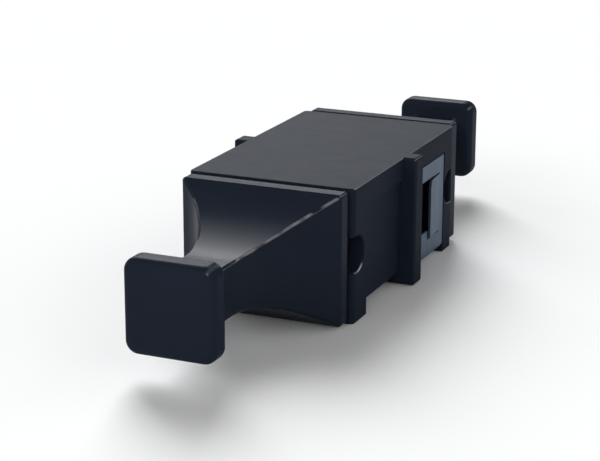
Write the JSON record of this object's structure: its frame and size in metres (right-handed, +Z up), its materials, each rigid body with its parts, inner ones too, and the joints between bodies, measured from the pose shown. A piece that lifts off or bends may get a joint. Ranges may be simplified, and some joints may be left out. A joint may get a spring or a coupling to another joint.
{
  "type": "mpo fibre adapter",
  "caption": "Black fibre adapter with a port at each end, a panel flange, a spring panel clip and dust plugs with square pull tabs.",
  "frame": {"origin": "under the middle of the housing, on the plane of its lowest faces, which is the middle of the bounding box's bottom", "axes": "+Y along the port axis, from the front port to the rear port, on whose side the panel clip sits; +X across the ports; +Z up, with the keyways above the ports"},
  "size_m": [0.015, 0.053, 0.01],
  "materials": {
    "housing_plastic": "moulded black plastic, satin",
    "insert_plastic": "moulded black plastic",
    "clip_steel": "satin stainless spring sheet",
    "plug_plastic": "moulded black plastic, satin"
  },
  "bodies": {
    "adapter": {"adapter_housing": "housing_plastic", "front_latch_insert": "insert_plastic", "rear_latch_insert": "insert_plastic", "panel_clip": "clip_steel"},
    "front_plug": {"front_dust_plug": "plug_plastic"},
    "rear_plug": {"rear_dust_plug": "plug_plastic"}
  },
  "joints": [
    {"name": "front_plug_pull", "type": "slide", "parent": "adapter", "child": "front_plug", "axis": [0, -1, 0], "range_m": [0, 0.015]},
    {"name": "rear_plug_pull", "type": "slide", "parent": "adapter", "child": "rear_plug", "axis": [0, 1, 0], "range_m": [0, 0.015]}
  ]
}
